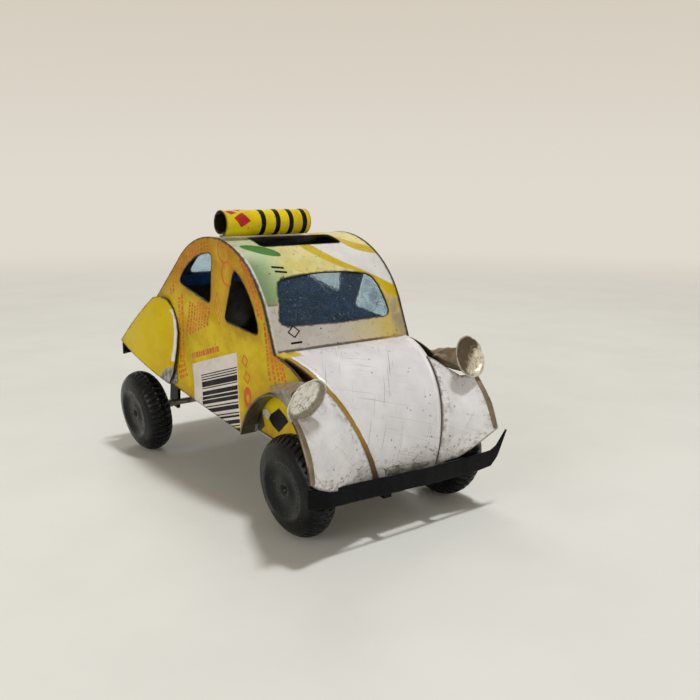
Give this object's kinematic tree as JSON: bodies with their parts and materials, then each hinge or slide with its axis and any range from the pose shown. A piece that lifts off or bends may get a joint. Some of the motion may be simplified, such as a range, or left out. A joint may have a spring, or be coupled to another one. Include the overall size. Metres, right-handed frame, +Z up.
{
  "type": "toy taxi",
  "caption": "Round-roofed toy car folded from recycled tin sheet, with dished headlamps, a rolled-up roof and free-turning solid rubber wheels on bent wire axles.",
  "frame": {"origin": "on the ground under the tyres, midway between the side panels, near the middle of the length", "axes": "+X forward along the car, +Y to the car's left, +Z up"},
  "size_m": [0.0946, 0.0557, 0.0639],
  "materials": {
    "yellow_tin": "printed gloss",
    "cream_tin": "printed gloss",
    "white_tin": "scratched gloss",
    "bare_tin": "dull",
    "black_tin": "chipped satin",
    "solder": "rough",
    "film": "dusty tinted film",
    "rubber": "matte"
  },
  "bodies": {
    "body": {"side_panel_right": "yellow_tin", "side_panel_left": "yellow_tin", "roof_strip": "cream_tin", "windscreen_film": "film", "rear_window_film": "film", "roof_roll": "yellow_tin", "bonnet": "white_tin", "front_wing_right": "white_tin", "front_wing_left": "white_tin", "wing_rim_right": "bare_tin", "wing_rim_left": "bare_tin", "headlamp_disc_right": "bare_tin", "headlamp_disc_left": "bare_tin", "headlamp_bracket_right": "bare_tin", "headlamp_bracket_left": "bare_tin", "inner_panel_right": "yellow_tin", "inner_panel_left": "yellow_tin", "arch_lip_right": "bare_tin", "arch_lip_left": "bare_tin", "rear_wing_right": "yellow_tin", "rear_wing_left": "yellow_tin", "floor_pan": "bare_tin", "front_axle": "bare_tin", "rear_axle": "bare_tin", "front_axle_bracket": "black_tin", "rear_axle_bracket": "black_tin", "collar_front_right": "bare_tin", "collar_front_left": "bare_tin", "collar_rear_right": "bare_tin", "collar_rear_left": "bare_tin", "front_bumper": "black_tin", "bumper_bracket_right": "black_tin", "bumper_bracket_left": "black_tin", "rear_bumper": "black_tin", "solder_patch": "solder"},
    "wheel_front_right": {"wheel_front_right": "rubber"},
    "wheel_front_left": {"wheel_front_left": "rubber"},
    "wheel_rear_right": {"wheel_rear_right": "rubber"},
    "wheel_rear_left": {"wheel_rear_left": "rubber"}
  },
  "joints": [
    {"name": "wheel_front_right_spin", "type": "hinge", "parent": "body", "child": "wheel_front_right", "pos_m": [0.0336, -0.0201, 0.01061], "axis": [0, 0.9962, 0.0872], "continuous": true},
    {"name": "wheel_front_left_spin", "type": "hinge", "parent": "body", "child": "wheel_front_left", "pos_m": [0.0336, 0.0201, 0.01061], "axis": [0, 0.9962, -0.0872], "continuous": true},
    {"name": "wheel_rear_right_spin", "type": "hinge", "parent": "body", "child": "wheel_rear_right", "pos_m": [-0.0357, -0.0201, 0.01063], "axis": [0, 0.9936, 0.1132], "continuous": true},
    {"name": "wheel_rear_left_spin", "type": "hinge", "parent": "body", "child": "wheel_rear_left", "pos_m": [-0.0357, 0.0201, 0.01063], "axis": [0, 0.9936, -0.1132], "continuous": true}
  ]
}
